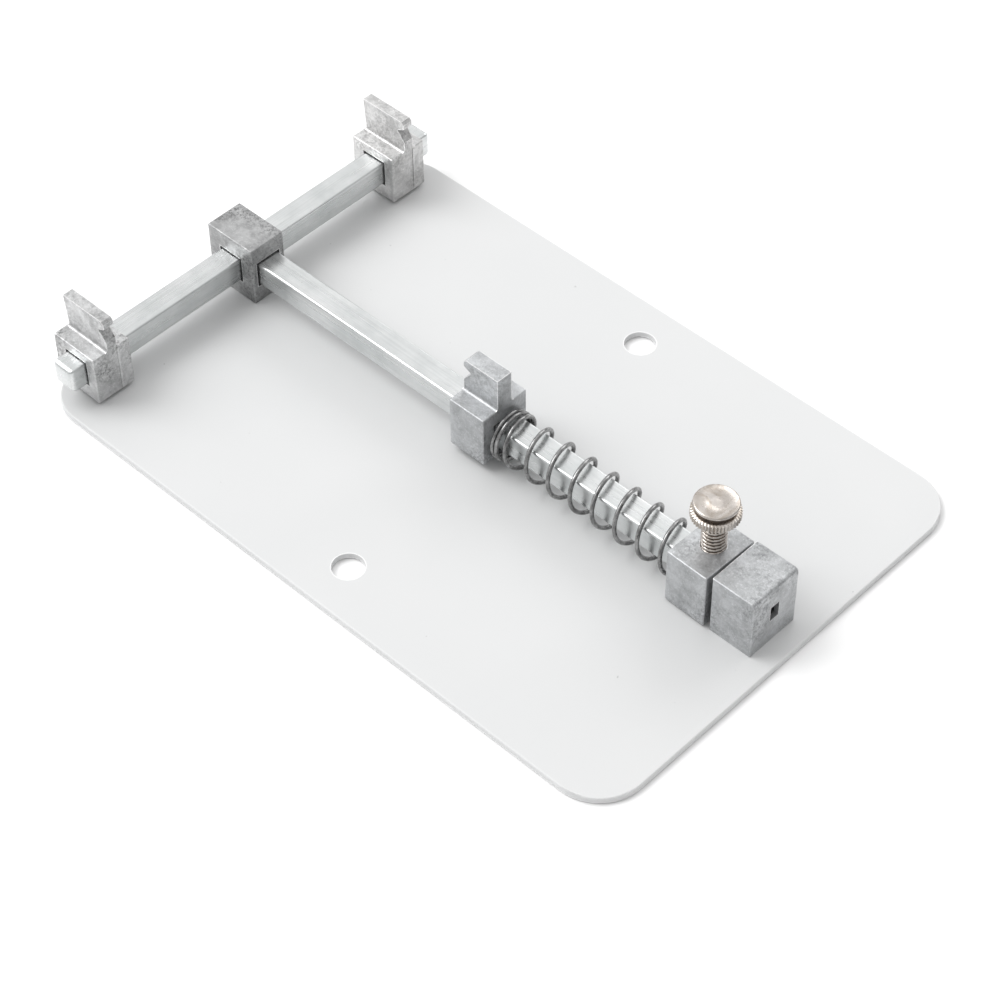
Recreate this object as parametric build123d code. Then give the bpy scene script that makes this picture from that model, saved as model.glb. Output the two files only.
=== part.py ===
from build123d import *
from math import cos, pi, sin
import os

# Printed circuit board holder: a flat base plate carries a T of two square bars. Two jaws
# slide on the crossbar and a third, sprung jaw slides on the main rail, so a board is
# gripped at three edges. Millimetres, +Z up, underside of the plate at Z = 0.
# +X runs along the main rail from the crosshead to the end block, +Y along the crossbar.

# Base plate
PLATE_X = 120.0
PLATE_Y = 81.0
PLATE_T = 1.0
PLATE_CORNER_R = 8.0
PLATE_EDGE_R = 0.25
BENCH_HOLE_R = 2.6
BENCH_HOLE_X = 1.7
BENCH_HOLE_SPACING = 65.0

# Square bars and the holes they run in
BAR = 4.4
BAR_EDGE_R = 0.4
BAR_Z = 6.7
BAR_HOLE = 5.0
CROSSBAR_X = -54.9
CROSSBAR_Y = (-39.1, 39.9)
BAR_END_R = 0.9

# Fixed blocks standing on the plate
BLOCK_TOP_Z = 12.3
CAST_EDGE_R = 0.22
CROSSHEAD_X = 10.2
CROSSHEAD_Y = 7.0
END_BLOCK_X = 7.75
END_BLOCK_Y = 10.0
END_BLOCK_MIN_X = 48.55
END_WALL = 0.8
END_CAVITY = 4.2
END_TOP_R = 0.7
END_SLOT_Y = 1.9
END_SLOT_Z = 2.9
END_SLOT_RISE = 0.4
RAIL_SHOULDER = 0.3

# Stop block, locked by a thumb screw, sitting slightly turned on the rail
STOP_X = 7.7
STOP_Y = 10.4
STOP_Z = (1.3, 11.6)
STOP_CENTRE_X = 43.96
STOP_YAW = -1.5
SCREW_R = 1.95
SCREW_HOLE_R = 2.0
SCREW_TIP_Z = BAR_Z + BAR / 2 + 0.15
SCREW_Y = 0.6
HEAD_Z = (17.8, 20.8)
HEAD_TOP_R = 3.45
HEAD_TOP_T = 0.55
HEAD_GROOVE_R = 2.9
HEAD_GROOVE_T = 0.85
KNURL_R = 3.8
NECK_R = 1.75
NECK_T = 1.0

# Crossbar jaws: a block with a thin upright fin, notched at its +X end
JAW_X = (-59.9, -50.5)
JAW_Y = 7.35
JAW_Z = (1.6, 10.8)
JAW_TOP_Z = 16.9
JAW_FIN_T = 1.95
JAW_FIN_SHIFT = 0.25
JAW_FIN_BACK = (-59.5, -60.0)
LEFT_JAW_Y = -32.4
RIGHT_JAW_Y = 32.55
FIN_ROOT_R = 0.5
MOULD_LINE_T = 0.12
MOULD_LINE_W = 0.3

# Sliding jaw: the same kind of block across the rail, notched at its -X end
SLIDER_X = (-4.25, 2.9)
SLIDER_Y = 9.55
SLIDER_Z = (2.3, 11.8)
SLIDER_TOP_Z = 17.9
SLIDER_FIN_T = 3.0

# Notch that takes the board's edge, measured down from the top of a fin
LIP_T = 1.35
APEX_DROP = 2.1
APEX_DEPTH = 1.5
SHOULDER_DROP = 4.1
LIP_SETBACK = 0.05
LIP_R = 0.5

# Jaw spring, hanging a little low on the rail; turns are counted from the +Y side
WIRE_R = 0.35
COIL_R = 4.0
COIL_DROP = 0.35
CLOSED_PITCH = 0.78
CLOSED_TURNS = 2.1
FIRST_TURN = 0.6
SPRING_TURNS = 10.25
COIL_STEPS = 12
SPRING_GAP = 0.1
STOP_LEAN = 0.25

# Flush rivets that hold the fixed blocks down from beneath
RIVET_R = 1.2
RIVET_HEAD_R = 2.0
RIVET_HEAD_T = 0.7
RIVET_DEPTH = 3.2
RIVET_FIT = 0.02
CROSSHEAD_RIVET_PITCH = 5.0
END_RIVET_PITCH = 5.0

CROSSHEAD_MIN_X = -PLATE_X / 2
CROSSHEAD_MAX_X = CROSSHEAD_MIN_X + CROSSHEAD_X
END_BLOCK_MAX_X = END_BLOCK_MIN_X + END_BLOCK_X
RAIL_START_X = CROSSBAR_X + BAR / 2 + RAIL_SHOULDER
CAVITY_END_X = END_BLOCK_MAX_X - END_WALL
RAIL_END_X = CAVITY_END_X - END_CAVITY
SCREW_X = STOP_CENTRE_X - SCREW_Y * sin(STOP_YAW * pi / 180)


def box_between(x, y, z):
    """Box from (low, high) pairs along each axis."""
    size = Box(x[1] - x[0], y[1] - y[0], z[1] - z[0])
    return Pos((x[0] + x[1]) / 2, (y[0] + y[1]) / 2, (z[0] + z[1]) / 2) * size


def centred(middle, length):
    """(low, high) pair of a length centred on a coordinate."""
    return (middle - length / 2, middle + length / 2)


def cast_block(x, y, z, edge_r=CAST_EDGE_R):
    """Die-cast block with softened edges."""
    block = box_between(x, y, z)
    return fillet(block.edges(), edge_r)


def bar_hole(axis, start, stop, across):
    """Square hole for a bar, along X or Y."""
    span = (start, stop)
    side = centred(across, BAR_HOLE)
    height = centred(BAR_Z, BAR_HOLE)
    if axis == "X":
        return box_between(span, side, height)
    return box_between(side, span, height)


def fin_profile(back_low, back_top, front, shelf_z, top_z):
    """Outline of a jaw's fin, notched at its front end, in the plane of the fin."""
    side = 1 if front > back_low else -1
    root_z = shelf_z - 2 * CAST_EDGE_R
    return [
        (back_low, root_z),
        (back_low, shelf_z),
        (back_top, top_z),
        (front - side * (LIP_SETBACK + LIP_R), top_z),
        (front - side * LIP_SETBACK, top_z - LIP_R),
        (front - side * LIP_SETBACK, top_z - LIP_T),
        (front - side * APEX_DEPTH, top_z - APEX_DROP),
        (front, top_z - SHOULDER_DROP),
        (front, root_z),
    ]


def fin(profile, y_middle, thickness, shelf_z):
    """Upright fin drawn in the XZ plane, widening to a rounded root where it meets the shelf."""
    face = make_face(Polyline(*[(x, 0, z) for x, z in profile], close=True))
    wide = thickness / 2 + FIN_ROOT_R
    solid = extrude(Pos(0, y_middle, 0) * face, amount=wide, dir=(0, 1, 0), both=True)
    for side in (-1, 1):
        corner = Pos(profile[0][0], y_middle + side * wide, shelf_z + FIN_ROOT_R)
        solid -= corner * Rot(0, 90, 0) * Cylinder(FIN_ROOT_R, 40)
        solid -= corner * Pos(0, 0, 10) * Box(40, 2 * FIN_ROOT_R, 20)
    return solid


def mould_line(y_middle):
    """Raised mould line down the +X face of a crossbar jaw."""
    x = (JAW_X[1] - MOULD_LINE_W, JAW_X[1] + MOULD_LINE_T)
    z = (JAW_Z[0] + MOULD_LINE_W, JAW_Z[1] - MOULD_LINE_W)
    return box_between(x, centred(y_middle, MOULD_LINE_W), z)


def crossbar_jaw(y_middle):
    """Jaw that slides along the crossbar."""
    y = centred(y_middle, JAW_Y)
    profile = fin_profile(*JAW_FIN_BACK, JAW_X[1], JAW_Z[1], JAW_TOP_Z)
    fin_middle = y_middle + JAW_FIN_SHIFT
    body = cast_block(JAW_X, y, JAW_Z) + fin(profile, fin_middle, JAW_FIN_T, JAW_Z[1])
    body += mould_line(fin_middle + JAW_FIN_T / 2)
    return body - bar_hole("Y", y[0] - 1, y[1] + 1, CROSSBAR_X)


def sliding_jaw():
    """Sprung jaw that slides along the main rail."""
    y = centred(0, SLIDER_Y)
    profile = fin_profile(SLIDER_X[1], SLIDER_X[1], SLIDER_X[0], SLIDER_Z[1], SLIDER_TOP_Z)
    body = cast_block(SLIDER_X, y, SLIDER_Z) + fin(profile, 0, SLIDER_FIN_T, SLIDER_Z[1])
    return body - bar_hole("X", SLIDER_X[0] - 1, SLIDER_X[1] + 1, 0)


def square_bar(length):
    """Square bar with rounded long edges, along X from the origin."""
    bar = Pos(length / 2, 0, 0) * Box(length, BAR, BAR)
    return fillet(bar.edges().filter_by(Axis.X), BAR_EDGE_R)


def crossbar():
    """Crossbar with both ends hammered round."""
    bar = box_between(centred(CROSSBAR_X, BAR), CROSSBAR_Y, centred(BAR_Z, BAR))
    bar = fillet(bar.edges().filter_by(Axis.Y), BAR_EDGE_R)
    ends = bar.faces().sort_by(Axis.Y)
    return fillet(ends[0].edges() + ends[-1].edges(), BAR_END_R)


def rivet_points():
    """Centres of the rivets: two along X in the crosshead, two along Y in the end block."""
    crosshead_x = CROSSHEAD_MIN_X + CROSSHEAD_X / 2
    end_x = END_BLOCK_MIN_X + END_BLOCK_X / 2
    in_crosshead = [(crosshead_x + s * CROSSHEAD_RIVET_PITCH / 2, 0) for s in (-1, 1)]
    in_end_block = [(end_x, s * END_RIVET_PITCH / 2) for s in (-1, 1)]
    return in_crosshead + in_end_block


def rivet(x, y, extra=0.0):
    """Flush rivet, head down; extra grows it into the hole that takes it."""
    shank = Cylinder(RIVET_R + extra, RIVET_DEPTH, align=(Align.CENTER, Align.CENTER, Align.MIN))
    head = Cone(RIVET_HEAD_R + extra, RIVET_R + extra, RIVET_HEAD_T,
                align=(Align.CENTER, Align.CENTER, Align.MIN))
    return Pos(x, y, 0) * (shank + head)


def drill_rivets(solid):
    """Cut the rivet holes out of a plate or block."""
    for x, y in rivet_points():
        solid -= rivet(x, y, RIVET_FIT)
    return solid


def base_plate():
    """Flat plate with rounded corners and two bench holes."""
    plate = Pos(0, 0, PLATE_T / 2) * Box(PLATE_X, PLATE_Y, PLATE_T)
    plate = fillet(plate.edges().filter_by(Axis.Z), PLATE_CORNER_R)
    plate = fillet(plate.faces().sort_by(Axis.Z)[-1].edges(), PLATE_EDGE_R)
    for side in (-1, 1):
        plate -= Pos(BENCH_HOLE_X, side * BENCH_HOLE_SPACING / 2, 0) * Cylinder(BENCH_HOLE_R, 4 * PLATE_T)
    return drill_rivets(plate)


def crosshead_block():
    """Block at the head of the T: crossbar right through it, rail into its +X face."""
    x = (CROSSHEAD_MIN_X, CROSSHEAD_MAX_X)
    y = centred(0, CROSSHEAD_Y)
    block = cast_block(x, y, (PLATE_T, BLOCK_TOP_Z))
    block -= bar_hole("Y", y[0] - 1, y[1] + 1, CROSSBAR_X)
    block -= bar_hole("X", CROSSBAR_X, x[1] + 1, 0)
    return drill_rivets(block)


def end_block():
    """Block at the foot of the rail, rounded over at its outer top edge, with a small slot."""
    x = (END_BLOCK_MIN_X, END_BLOCK_MAX_X)
    block = box_between(x, centred(0, END_BLOCK_Y), (PLATE_T, BLOCK_TOP_Z))
    outer_top = block.edges().filter_by(Axis.Y).group_by(Axis.Z)[-1].sort_by(Axis.X)[-1]
    block = fillet(outer_top, END_TOP_R)
    block = fillet(block.edges().filter_by(Axis.Z), CAST_EDGE_R)
    block -= bar_hole("X", x[0] - 1, CAVITY_END_X, 0)
    slot_z = centred(BAR_Z + END_SLOT_RISE, END_SLOT_Z)
    block -= box_between((CAVITY_END_X - 1, x[1] + 1), centred(0, END_SLOT_Y), slot_z)
    return drill_rivets(block)


def stop_block():
    """Block that slides on the rail, tapped from above for the thumb screw."""
    block = cast_block(centred(0, STOP_X), centred(0, STOP_Y), STOP_Z)
    block -= bar_hole("X", -STOP_X, STOP_X, 0)
    block -= Pos(0, SCREW_Y, STOP_Z[1]) * Cylinder(SCREW_HOLE_R, 2 * (STOP_Z[1] - BAR_Z))
    return Pos(STOP_CENTRE_X, 0, 0) * Rot(0, 0, STOP_YAW) * block


def thumb_screw():
    """Thumb screw: threaded shank, short neck, knurled ring, groove and flat top disc."""
    low, high = HEAD_Z
    groove_top = high - HEAD_TOP_T
    groove_low = groove_top - HEAD_GROOVE_T
    steps = [
        (SCREW_R, SCREW_TIP_Z, low - NECK_T),
        (NECK_R, low - NECK_T, low),
        (KNURL_R, low, groove_low),
        (HEAD_GROOVE_R, groove_low, groove_top),
        (HEAD_TOP_R, groove_top, high),
    ]
    outline = [(0, SCREW_TIP_Z)]
    for radius, start, stop in steps:
        outline += [(radius, start), (radius, stop)]
    outline += [(0, high)]
    face = make_face(Polyline(*[(x, 0, z) for x, z in outline], close=True))
    return Pos(SCREW_X, SCREW_Y, 0) * revolve(face, Axis.Z)


def coil_path(start_x, stop_x):
    """Coil centre line: closed turns first, opening smoothly to an even pitch."""
    steps = int(SPRING_TURNS * COIL_STEPS)
    turns = [step / COIL_STEPS for step in range(steps + 1)]
    opening = [min(max(turn - CLOSED_TURNS, 0), 1) for turn in turns[:-1]]
    smooth = [f * f * (3 - 2 * f) for f in opening]
    open_pitch = CLOSED_PITCH + ((stop_x - start_x) * COIL_STEPS - steps * CLOSED_PITCH) / sum(smooth)
    points = []
    x = start_x
    for turn, share in zip(turns, smooth + [0]):
        angle = 2 * pi * (turn + FIRST_TURN)
        points.append((x, COIL_R * cos(angle), BAR_Z - COIL_DROP + COIL_R * sin(angle)))
        x += (CLOSED_PITCH + (open_pitch - CLOSED_PITCH) * share) / COIL_STEPS
    return Spline(*points)


def jaw_spring():
    """Right-hand coil spring: closed turns at the jaw, open turns to the stop block."""
    start_x = SLIDER_X[1] + WIRE_R + SPRING_GAP
    stop_x = STOP_CENTRE_X - STOP_X / 2 - WIRE_R - STOP_LEAN
    path = coil_path(start_x, stop_x)
    section = Plane(origin=path @ 0, z_dir=path % 0) * Circle(WIRE_R)
    return sweep(section, path=path, is_frenet=True)


def main_rail():
    """Rail from the crossbar, through the crosshead, into the end block."""
    return Pos(RAIL_START_X, 0, BAR_Z) * square_bar(RAIL_END_X - RAIL_START_X)


def plate_rivets():
    """All rivets as separate solids of one node."""
    return Compound(children=[rivet(x, y) for x, y in rivet_points()])


PARTS = {
    "base_plate": base_plate,
    "crosshead_block": crosshead_block,
    "crossbar": crossbar,
    "main_rail": main_rail,
    "end_block": end_block,
    "plate_rivets": plate_rivets,
    "left_jaw": lambda: crossbar_jaw(LEFT_JAW_Y),
    "right_jaw": lambda: crossbar_jaw(RIGHT_JAW_Y),
    "sliding_jaw": sliding_jaw,
    "jaw_spring": jaw_spring,
    "stop_block": stop_block,
    "thumb_screw": thumb_screw,
}

os.makedirs("parts", exist_ok=True)
for name, build in PARTS.items():
    export_step(build(), f"parts/{name}.step")
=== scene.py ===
import math

import bpy
from mathutils import Matrix, Vector


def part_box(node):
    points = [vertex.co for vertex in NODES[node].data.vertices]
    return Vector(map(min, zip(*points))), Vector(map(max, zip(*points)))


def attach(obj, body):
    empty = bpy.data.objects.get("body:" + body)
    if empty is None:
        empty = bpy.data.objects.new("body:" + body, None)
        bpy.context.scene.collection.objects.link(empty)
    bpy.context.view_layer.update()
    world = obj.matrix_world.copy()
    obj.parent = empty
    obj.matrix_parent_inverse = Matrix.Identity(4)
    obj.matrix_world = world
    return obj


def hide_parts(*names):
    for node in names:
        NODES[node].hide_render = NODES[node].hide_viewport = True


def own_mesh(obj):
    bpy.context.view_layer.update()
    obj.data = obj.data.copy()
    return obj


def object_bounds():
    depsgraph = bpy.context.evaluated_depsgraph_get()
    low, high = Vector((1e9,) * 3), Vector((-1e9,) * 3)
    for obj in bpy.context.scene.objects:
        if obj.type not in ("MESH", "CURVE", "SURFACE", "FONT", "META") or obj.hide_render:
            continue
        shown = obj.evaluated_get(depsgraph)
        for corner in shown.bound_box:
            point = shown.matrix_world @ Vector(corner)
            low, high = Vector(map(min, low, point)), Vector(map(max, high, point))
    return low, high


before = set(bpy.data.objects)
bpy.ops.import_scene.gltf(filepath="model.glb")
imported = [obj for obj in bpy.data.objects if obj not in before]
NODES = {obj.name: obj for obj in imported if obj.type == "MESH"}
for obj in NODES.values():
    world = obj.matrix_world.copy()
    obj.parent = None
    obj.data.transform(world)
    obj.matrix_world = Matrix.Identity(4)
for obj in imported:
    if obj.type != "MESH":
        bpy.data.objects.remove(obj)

CAD_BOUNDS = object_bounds()
MM = 0.001


# ---------------------------------------------------------------- node helpers

class Shader:
    """A material and short calls for wiring its nodes."""

    SOCKETS = {"color": "Base Color", "metallic": "Metallic", "rough": "Roughness",
               "coat": "Coat Weight", "coat_rough": "Coat Roughness"}

    def __init__(self, name):
        self.material = bpy.data.materials.new(name)
        self.material.use_nodes = True
        self.tree = self.material.node_tree
        self.bsdf = self.tree.nodes["Principled BSDF"]
        self.coords = self.add("ShaderNodeTexCoord").outputs["Object"]

    def add(self, kind, **settings):
        node = self.tree.nodes.new(kind)
        for key, value in settings.items():
            setattr(node, key, value)
        return node

    def put(self, socket, value):
        """Link a socket, or set it to a constant."""
        if isinstance(value, bpy.types.NodeSocket):
            self.tree.links.new(value, socket)
        else:
            socket.default_value = value

    def stretched(self, scale):
        """Object coordinates scaled per axis."""
        node = self.add("ShaderNodeMapping")
        self.put(node.inputs["Vector"], self.coords)
        node.inputs["Scale"].default_value = scale
        return node.outputs["Vector"]

    def noise(self, scale, detail=4.0, rough=0.55, vector=None, distort=0.0):
        node = self.add("ShaderNodeTexNoise")
        self.put(node.inputs["Vector"], vector or self.coords)
        node.inputs["Scale"].default_value = scale
        node.inputs["Detail"].default_value = detail
        node.inputs["Roughness"].default_value = rough
        node.inputs["Distortion"].default_value = distort
        return node.outputs["Fac"]

    def ramp(self, fac, *stops):
        """Colour ramp; each stop is (position, grey or rgb)."""
        node = self.add("ShaderNodeValToRGB")
        ramp = node.color_ramp
        while len(ramp.elements) < len(stops):
            ramp.elements.new(0.5)
        for element, (position, colour) in zip(ramp.elements, stops):
            channels = colour if isinstance(colour, tuple) else (colour,) * 3
            element.position = position
            element.color = (*channels, 1.0)
        self.put(node.inputs["Fac"], fac)
        return node.outputs["Color"]

    def math(self, operation, a, b=0.0):
        node = self.add("ShaderNodeMath", operation=operation)
        self.put(node.inputs[0], a)
        self.put(node.inputs[1], b)
        return node.outputs[0]

    def mix(self, fac, a, b):
        node = self.add("ShaderNodeMix", data_type="RGBA")
        self.put(node.inputs["Factor"], fac)
        self.put(node.inputs["A"], a)
        self.put(node.inputs["B"], b)
        return node.outputs["Result"]

    def edge(self, radius, low, high):
        """1 on outer edges, 0 on flat faces and in inner corners: the mask for rubbed wear, and for painted
        light on the plate's edges.
        """
        bevel = self.add("ShaderNodeBevel", samples=6)
        bevel.inputs["Radius"].default_value = radius
        flat = self.add("ShaderNodeNewGeometry")
        dot = self.add("ShaderNodeVectorMath", operation="DOT_PRODUCT")
        self.put(dot.inputs[0], bevel.outputs["Normal"])
        self.put(dot.inputs[1], flat.outputs["Normal"])
        sharp = self.ramp(dot.outputs["Value"], (low, 1.0), (high, 0.0))
        shelter = self.add("ShaderNodeAmbientOcclusion", samples=8, only_local=True)
        shelter.inputs["Distance"].default_value = 4 * radius
        outer = self.ramp(shelter.outputs["AO"], (0.74, 0.0), (0.94, 1.0))
        return self.math("MULTIPLY", sharp, outer)

    def bump(self, *layers):
        """Stacked bumps; each layer is (height, strength, distance)."""
        normal = None
        for height, strength, distance in layers:
            node = self.add("ShaderNodeBump")
            node.inputs["Strength"].default_value = strength
            node.inputs["Distance"].default_value = distance
            self.put(node.inputs["Height"], height)
            if normal is not None:
                self.put(node.inputs["Normal"], normal)
            normal = node.outputs["Normal"]
        self.put(self.bsdf.inputs["Normal"], normal)

    def set(self, **values):
        """Wire or set the shader's own sockets and return the finished material."""
        for key, value in values.items():
            self.put(self.bsdf.inputs[self.SOCKETS[key]], value)
        return self.material


def rgb(grey, warm=0.0):
    """Grey, made warmer or cooler."""
    return (grey * (1 + warm), grey, grey * (1 - warm), 1.0)


# ---------------------------------------------------------------- materials

def cast_zinc(name, dark, light, warm=0.0, grime=0.5):
    """Tumbled zinc casting: clouded grey, speckled stains, bright rubbed edges."""
    s = Shader(name)
    clouds = s.noise(330, 8, 0.68, distort=0.15)
    tone = s.ramp(clouds, (0.34, rgb(dark, warm)[:3]), (0.64, rgb(light, warm)[:3]))
    patches = s.ramp(s.noise(140, 3, 0.5), (0.42, 0.15), (0.62, 1.0))
    stains = s.ramp(s.noise(1700, 7, 0.78), (0.43, 1.0), (0.53, 0.0))
    dirt = s.math("MULTIPLY", s.math("MULTIPLY", stains, patches), grime)
    tone = s.mix(dirt, tone, rgb(dark * 0.42, warm))
    flecks = s.ramp(s.noise(3300, 3, 0.6), (0.56, 0.0), (0.70, 1.0))
    tone = s.mix(s.math("MULTIPLY", flecks, 0.45), tone, rgb(min(light * 1.35, 0.95), warm))
    rubbed = s.ramp(s.noise(900, 4), (0.30, 0.55), (0.55, 1.0))
    worn = s.math("MULTIPLY", s.edge(0.30 * MM, 0.87, 0.975), rubbed)
    tone = s.mix(worn, tone, rgb(0.95))
    rough = s.ramp(s.noise(700, 4), (0.30, 0.34), (0.70, 0.56))
    rough = s.mix(worn, rough, rgb(0.28))
    s.bump((s.noise(420, 5, 0.6), 0.35, 0.20 * MM), (s.noise(2300, 5, 0.7), 0.45, 0.06 * MM))
    return s.set(color=tone, metallic=0.72, rough=rough)


def plated_bar(name, along):
    """Bright zinc plate over drawn bar, with fine lines and scratches along its length."""
    s = Shader(name)
    fine = (60, 4200, 4200) if along == "X" else (4200, 60, 4200)
    coarse = (25, 900, 900) if along == "X" else (900, 25, 900)
    lines = s.noise(1, 3, 0.6, s.stretched(fine))
    bands = s.noise(1, 4, 0.6, s.stretched(coarse))
    blotch = s.noise(150, 4, 0.6)
    tone = s.ramp(blotch, (0.30, (0.60, 0.62, 0.62)), (0.70, (0.76, 0.77, 0.77)))
    tone = s.mix(s.ramp(lines, (0.30, 0.30), (0.55, 0.0)), tone, (0.42, 0.44, 0.44, 1.0))
    nicks = s.ramp(s.noise(1400, 4, 0.7, distort=1.0), (0.66, 0.0), (0.72, 1.0))
    tone = s.mix(s.math("MULTIPLY", nicks, 0.5), tone, rgb(0.30))
    tone = s.mix(s.edge(0.35 * MM, 0.90, 0.99), tone, rgb(0.93))
    rough = s.ramp(bands, (0.30, 0.22), (0.70, 0.38))
    s.bump((bands, 0.20, 0.06 * MM), (lines, 0.25, 0.02 * MM), (s.noise(500, 4), 0.15, 0.10 * MM))
    return s.set(color=tone, metallic=0.95, rough=rough)


def plate_paint():
    """Smooth pale grey-white coat on sheet steel, faint orange peel, a few dust specks, and painted light
    that brightens its edges and thin sides.
    """
    s = Shader("plate_enamel_paint")
    broad = s.noise(22, 3, 0.5)
    tone = s.ramp(broad, (0.35, (0.632, 0.638, 0.640)), (0.65, (0.650, 0.654, 0.655)))
    specks = s.ramp(s.noise(900, 2, 0.5), (0.775, 0.0), (0.80, 1.0))
    tone = s.mix(s.math("MULTIPLY", specks, 0.5), tone, rgb(0.35))
    # Painted light: the plate's edges and 1 mm sides are painted near-white, standing in for light that the
    # sides don't get.
    rim = s.edge(0.4 * MM, 0.88, 0.99)
    tone = s.mix(s.math("MULTIPLY", rim, 0.9), tone, rgb(0.97))
    rough = s.ramp(s.noise(80, 3), (0.30, 0.40), (0.70, 0.50))
    s.bump((s.noise(700, 2, 0.5), 0.06, 0.05 * MM), (s.noise(3000, 2), 0.05, 0.01 * MM))
    return s.set(color=tone, metallic=0.0, rough=rough, coat=0.12, coat_rough=0.3)


def spring_wire():
    """Dark drawn spring wire with drawing lines and brighter rubbed spots."""
    s = Shader("spring_wire_steel")
    tone = s.ramp(s.noise(700, 4, 0.6), (0.35, 0.20), (0.65, 0.44))
    lines = s.ramp(s.noise(1, 3, 0.6, s.stretched((5200, 500, 500))), (0.35, 0.5), (0.6, 0.0))
    tone = s.mix(lines, tone, rgb(0.10))
    rough = s.ramp(s.noise(900, 3), (0.3, 0.18), (0.7, 0.34))
    s.bump((s.noise(2400, 3), 0.20, 0.02 * MM),)
    return s.set(color=tone, metallic=0.95, rough=rough)


def screw_nickel():
    """Warm nickel plate with brown swirls, brighter on its edges."""
    s = Shader("screw_nickel_plate")
    tone = s.ramp(s.noise(420, 4, 0.6), (0.35, (0.49, 0.45, 0.415)), (0.65, (0.64, 0.60, 0.565)))
    swirl = s.ramp(s.noise(260, 4, 0.6, distort=1.2), (0.42, 0.75), (0.54, 0.0))
    tone = s.mix(swirl, tone, (0.40, 0.35, 0.30, 1.0))
    tone = s.mix(s.edge(0.15 * MM, 0.80, 0.99), tone, (0.92, 0.90, 0.86, 1.0))
    rough = s.ramp(s.noise(600, 3), (0.3, 0.20), (0.7, 0.36))
    s.bump((s.noise(420, 4, 0.6), 0.30, 0.12 * MM), (s.noise(1800, 3), 0.15, 0.02 * MM))
    return s.set(color=tone, metallic=1.0, rough=rough)


def screw_groove_shade():
    """Brown-black painted shade for the thread's root and the head's groove."""
    s = Shader("screw_groove_painted_shade")
    tone = s.ramp(s.noise(900, 4, 0.6), (0.35, (0.05, 0.04, 0.032)), (0.65, (0.17, 0.13, 0.10)))
    s.bump((s.noise(2600, 3), 0.25, 0.02 * MM),)
    rough = s.ramp(s.noise(800, 3), (0.3, 0.35), (0.7, 0.6))
    return s.set(color=tone, metallic=0.5, rough=rough)


def rivet_steel():
    """Plain bright rivet steel, lightly mottled."""
    s = Shader("rivet_steel_turned")
    tone = s.ramp(s.noise(800, 4, 0.6), (0.35, 0.42), (0.65, 0.60))
    s.bump((s.noise(2500, 3), 0.3, 0.03 * MM),)
    return s.set(color=tone, metallic=0.9, rough=s.ramp(s.noise(900, 3), (0.3, 0.3), (0.7, 0.5)))


def paint_node(node, material):
    """Give a CAD node one procedural material."""
    for slot in NODES[node].material_slots:
        slot.material = material


# ---------------------------------------------------------------- meshes

def mesh_object(name, vertices, faces, material):
    """Smooth-shaded mesh with one material."""
    mesh = bpy.data.meshes.new(name)
    mesh.from_pydata([tuple(v) for v in vertices], [], faces)
    mesh.polygons.foreach_set("use_smooth", [True] * len(mesh.polygons))
    mesh.materials.append(material)
    mesh.validate()
    obj = bpy.data.objects.new(name, mesh)
    bpy.context.collection.objects.link(obj)
    return obj


def lathe(name, centre, rings, segments, material, crisp=None):
    """Closed turned piece; each ring is (height, radius), a radius being a number or a function of angle."""
    vertices = [Vector((centre.x, centre.y, rings[0][0]))]
    for z, radius in rings:
        for k in range(segments):
            angle = 2 * math.pi * k / segments
            r = radius(angle) if callable(radius) else radius
            vertices.append(Vector((centre.x + r * math.cos(angle), centre.y + r * math.sin(angle), z)))
    vertices.append(Vector((centre.x, centre.y, rings[-1][0])))
    faces = []
    for k in range(segments):
        faces.append((0, 1 + (k + 1) % segments, 1 + k))
    for row in range(len(rings) - 1):
        low = 1 + row * segments
        for k in range(segments):
            nxt = (k + 1) % segments
            faces.append((low + k, low + nxt, low + segments + nxt, low + segments + k))
    top = len(vertices) - 1
    low = 1 + (len(rings) - 1) * segments
    for k in range(segments):
        faces.append((top, low + k, low + (k + 1) % segments))
    obj = mesh_object(name, vertices, faces, material)
    if crisp:
        obj.data.set_sharp_from_angle(angle=math.radians(crisp))
    return obj


def tint_inner_faces(obj, centre, radius, heights, material):
    """Second material on the side faces of a turned piece that lie inside a radius."""
    end_cap_r = 1.0 * MM
    mesh = obj.data
    mesh.materials.append(material)
    for face in mesh.polygons:
        middle = face.center
        reach = math.hypot(middle.x - centre.x, middle.y - centre.y)
        if end_cap_r < reach < radius and heights[0] < middle.z < heights[1]:
            face.material_index = 1


def tube(name, points, radius, sides, material):
    """Round tube along points, with flat ends."""
    vertices = []
    faces = []
    side = Vector((1, 0, 0))
    for i, point in enumerate(points):
        ahead = points[min(i + 1, len(points) - 1)]
        behind = points[max(i - 1, 0)]
        along = (ahead - behind).normalized()
        u = (side - along * side.dot(along)).normalized()
        v = along.cross(u)
        for k in range(sides):
            angle = 2 * math.pi * k / sides
            vertices.append(point + (u * math.cos(angle) + v * math.sin(angle)) * radius)
    for i in range(len(points) - 1):
        for k in range(sides):
            nxt = (k + 1) % sides
            a, b = i * sides, (i + 1) * sides
            faces.append((a + k, a + nxt, b + nxt, b + k))
    faces.append(tuple(range(sides - 1, -1, -1)))
    last = (len(points) - 1) * sides
    faces.append(tuple(range(last, last + sides)))
    return mesh_object(name, vertices, faces, material)


# ---------------------------------------------------------------- nodes from the CAD

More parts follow.
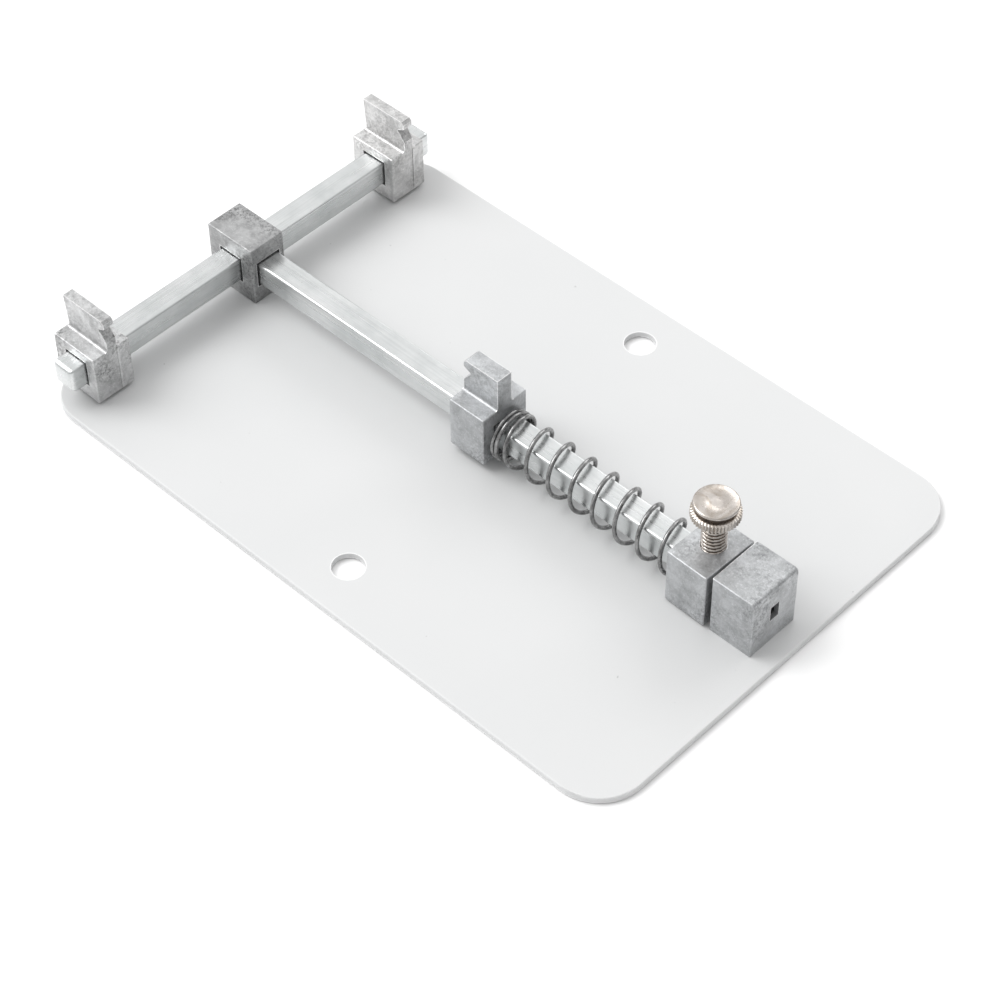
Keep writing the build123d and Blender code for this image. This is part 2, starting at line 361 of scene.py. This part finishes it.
cast_blocks = cast_zinc("cast_zinc_blocks", 0.38, 0.60, warm=-0.02, grime=0.6)
cast_dark = cast_zinc("cast_zinc_crosshead", 0.28, 0.47, warm=-0.005, grime=0.85)
cast_pale = cast_zinc("cast_zinc_pale", 0.40, 0.68, warm=-0.004, grime=0.9)
cast_warm = cast_zinc("cast_zinc_warm", 0.46, 0.74, warm=0.004, grime=0.5)
cast_end = cast_zinc("cast_zinc_end_block", 0.36, 0.58, warm=-0.02, grime=0.65)
paint_node("end_block", cast_end)
for node in ("stop_block", "sliding_jaw"):
    paint_node(node, cast_blocks)
paint_node("crosshead_block", cast_dark)
paint_node("left_jaw", cast_pale)
paint_node("right_jaw", cast_warm)
paint_node("crossbar", plated_bar("plated_crossbar", "Y"))
paint_node("main_rail", plated_bar("plated_rail", "X"))
paint_node("base_plate", plate_paint())
paint_node("plate_rivets", rivet_steel())

# ---------------------------------------------------------------- jaw spring

WIRE_R = 0.35 * MM
WIRE_SIDES = 14
COIL_TURNS = 10.25
COIL_STEPS = 40                 # points in one turn
CLOSED_TURNS = 2.1              # turns that nearly touch, beside the jaw
CLOSED_PITCH = 0.78 * MM
FIRST_TURN = 0.6                # where round the rail the wire begins, as part of a turn


def coil_points(start, stop, radius, height):
    """Centre line of a coil along X: closed turns, then an even open pitch."""
    count = int(COIL_TURNS * COIL_STEPS)
    share = []
    for i in range(count):
        f = min(max(i / COIL_STEPS - CLOSED_TURNS, 0.0), 1.0)
        share.append(f * f * (3 - 2 * f))
    open_pitch = CLOSED_PITCH + ((stop - start) * COIL_STEPS - count * CLOSED_PITCH) / sum(share)
    points = []
    x = start
    for i in range(count + 1):
        angle = 2 * math.pi * (i / COIL_STEPS + FIRST_TURN)
        points.append(Vector((x, radius * math.cos(angle), height + radius * math.sin(angle))))
        if i < count:
            x += (CLOSED_PITCH + (open_pitch - CLOSED_PITCH) * share[i]) / COIL_STEPS
    return points


low, high = (Vector(corner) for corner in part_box("jaw_spring"))
coil_r = (high.z - low.z) / 2 - WIRE_R
coil = coil_points(low.x + WIRE_R, high.x - WIRE_R, coil_r, (low.z + high.z) / 2)
spring = tube("spring_coil", coil, WIRE_R, WIRE_SIDES, spring_wire())
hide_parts("jaw_spring")

# ---------------------------------------------------------------- thumb screw

nickel = screw_nickel()
groove_shade = screw_groove_shade()
low, high = (Vector(corner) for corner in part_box("thumb_screw"))
axis = Vector(((low.x + high.x) / 2, (low.y + high.y) / 2, 0))
HEAD_HEIGHT = 3.0 * MM
HEAD_LOW = high.z - HEAD_HEIGHT
HEAD_FACETS = 6                 # round each tooth
KNURL_R = (high.x - low.x) / 2
KNURL_DEPTH = 0.20 * MM
TEETH = 44
NECK_R = 1.76 * MM
GROOVE_R = 2.95 * MM
DISC_R = 3.44 * MM


def knurl(angle):
    """Radius round the knurled ring: straight rounded teeth."""
    return KNURL_R - KNURL_DEPTH * (0.5 - 0.5 * math.cos(TEETH * angle))


# From the neck up: knurled ring, groove, disc, shallow dish in the top.
head_rings = [
    (HEAD_LOW - 1.00 * MM, NECK_R),
    (HEAD_LOW - 0.08 * MM, NECK_R),
    (HEAD_LOW, NECK_R + 0.12 * MM),
    (HEAD_LOW, KNURL_R - 0.55 * MM),
    (HEAD_LOW + 0.04 * MM, KNURL_R - 0.38 * MM),
    (HEAD_LOW + 0.22 * MM, knurl),
    (HEAD_LOW + 1.38 * MM, knurl),
    (HEAD_LOW + 1.54 * MM, KNURL_R - 0.34 * MM),
    (HEAD_LOW + 1.60 * MM, KNURL_R - 0.60 * MM),
    (HEAD_LOW + 1.61 * MM, GROOVE_R),
    (HEAD_LOW + 2.45 * MM, GROOVE_R),
    (HEAD_LOW + 2.46 * MM, DISC_R - 0.24 * MM),
    (HEAD_LOW + 2.50 * MM, DISC_R - 0.06 * MM),
    (HEAD_LOW + 2.58 * MM, DISC_R),
    (HEAD_LOW + 2.82 * MM, DISC_R),
    (HEAD_LOW + 2.93 * MM, DISC_R - 0.08 * MM),
    (HEAD_LOW + HEAD_HEIGHT, DISC_R - 0.26 * MM),
    (HEAD_LOW + HEAD_HEIGHT, 1.35 * MM),
    (HEAD_LOW + 2.96 * MM, 1.20 * MM),
    (HEAD_LOW + 2.93 * MM, 0.90 * MM),
    (HEAD_LOW + 2.97 * MM, 0.30 * MM),
]
head = lathe("thumb_screw_head", axis, head_rings, TEETH * HEAD_FACETS, nickel, crisp=35)

PITCH = 0.7 * MM
THREAD_R = 1.95 * MM
THREAD_DEPTH = 0.36 * MM
THREAD_ROWS = 12                # rings in one pitch
TIP_CHAMFER = 0.15 * MM
SHANK_FACETS = 56


def thread(z):
    """Radius round the shank at height z: a single right-hand thread."""
    def radius(angle):
        phase = (z / PITCH - angle / (2 * math.pi)) % 1.0
        crest = min(1.0, max(0.0, 1.35 * (1 - abs(2 * phase - 1)) - 0.08))
        return THREAD_R - THREAD_DEPTH * (1 - crest)
    return radius


shank_top = HEAD_LOW - 0.95 * MM
rows = int((shank_top - low.z) / PITCH * THREAD_ROWS)
shank_rings = [(low.z, THREAD_R - THREAD_DEPTH - 0.2 * MM)]
for row in range(rows + 1):
    z = low.z + TIP_CHAMFER + (shank_top - low.z - TIP_CHAMFER) * row / rows
    shank_rings.append((z, thread(z)))
shank_rings.append((shank_top, THREAD_R - THREAD_DEPTH))
shank = lathe("thumb_screw_shank", axis, shank_rings, SHANK_FACETS, nickel)
# Painted shade: the near-black material goes on the head's groove and the thread's root.
tint_inner_faces(head, axis, GROOVE_R + 0.05 * MM, (HEAD_LOW + 1.55 * MM, HEAD_LOW + 2.5 * MM), groove_shade)
tint_inner_faces(shank, axis, THREAD_R - 0.13 * MM, (low.z, shank_top), groove_shade)
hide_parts("thumb_screw")
shank.parent = head

# ---------------------------------------------------------------- bodies

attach(spring, "stop")
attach(head, "screw")
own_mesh(spring)

# ---------------------------------------------------------------- floor, light, camera

floor_shader = Shader("studio_floor")
floor_shader.set(color=floor_shader.ramp(floor_shader.noise(3), (0.3, 0.93), (0.7, 0.95)), rough=0.9)
bpy.ops.mesh.primitive_plane_add(size=8.0, location=(0, 0, CAD_BOUNDS[0][2] - 0.0002))
floor = bpy.context.object
floor.name = "floor"
floor.data.materials.append(floor_shader.material)

world = bpy.data.worlds.new("studio")
bpy.context.scene.world = world
world.use_nodes = True
tree = world.node_tree
background = tree.nodes["Background"]
direction = tree.nodes.new("ShaderNodeTexCoord").outputs["Generated"]
tilt = tree.nodes.new("ShaderNodeVectorMath")
tilt.operation = "DOT_PRODUCT"
tilt.inputs[1].default_value = Vector((-0.45, -0.05, 0.88)).normalized()
tree.links.new(direction, tilt.inputs[0])
sky = tree.nodes.new("ShaderNodeValToRGB")
for element, (position, grey) in zip(sky.color_ramp.elements, ((0.0, 0.40), (0.85, 1.0))):
    element.position = position
    element.color = (grey, grey, grey, 1)
tree.links.new(tilt.outputs["Value"], sky.inputs["Fac"])
tree.links.new(sky.outputs["Color"], background.inputs["Color"])
background.inputs["Strength"].default_value = 1.0


def area_light(name, position, size, power):
    """Soft rectangular light aimed at the origin."""
    lamp = bpy.data.lights.new(name, "AREA")
    lamp.shape = "RECTANGLE"
    lamp.size, lamp.size_y = size
    lamp.energy = power
    obj = bpy.data.objects.new(name, lamp)
    obj.location = position
    aim = -Vector(position)
    obj.rotation_euler = aim.to_track_quat("-Z", "Y").to_euler()
    bpy.context.collection.objects.link(obj)


area_light("key", (-1.10, -0.60, 1.50), (1.2, 1.2), 22.0)
area_light("back", (-0.20, 1.60, 1.10), (1.8, 0.8), 9.0)

AZIMUTH = math.radians(44.24)
ELEVATION = math.radians(47.60)
ROLL = math.radians(-0.69)
DISTANCE = 0.4221
AIM_HEIGHT = 0.005
MOVED_RIGHT = 0.0013925         # moves the camera sideways without turning it
MOVED_DOWN = 0.0112217
LENS = 98.92
SENSOR = 36.0
look = Vector((-math.cos(ELEVATION) * math.sin(AZIMUTH), math.cos(ELEVATION) * math.cos(AZIMUTH),
               -math.sin(ELEVATION)))
right = look.cross(Vector((0, 0, 1))).normalized()
up = right.cross(look)
right, up = (right * math.cos(ROLL) + up * math.sin(ROLL), up * math.cos(ROLL) - right * math.sin(ROLL))
position = Vector((0, 0, AIM_HEIGHT)) - look * DISTANCE + right * MOVED_RIGHT - up * MOVED_DOWN
camera_data = bpy.data.cameras.new("camera")
camera_data.sensor_width = SENSOR
camera_data.lens = LENS
camera_data.clip_end = 50.0
camera = bpy.data.objects.new("camera", camera_data)
turn = Matrix((right, up, -look)).transposed().to_4x4()
camera.matrix_world = Matrix.Translation(position) @ turn
bpy.context.collection.objects.link(camera)
bpy.context.scene.camera = camera
bpy.context.scene.view_settings.view_transform = "Standard"
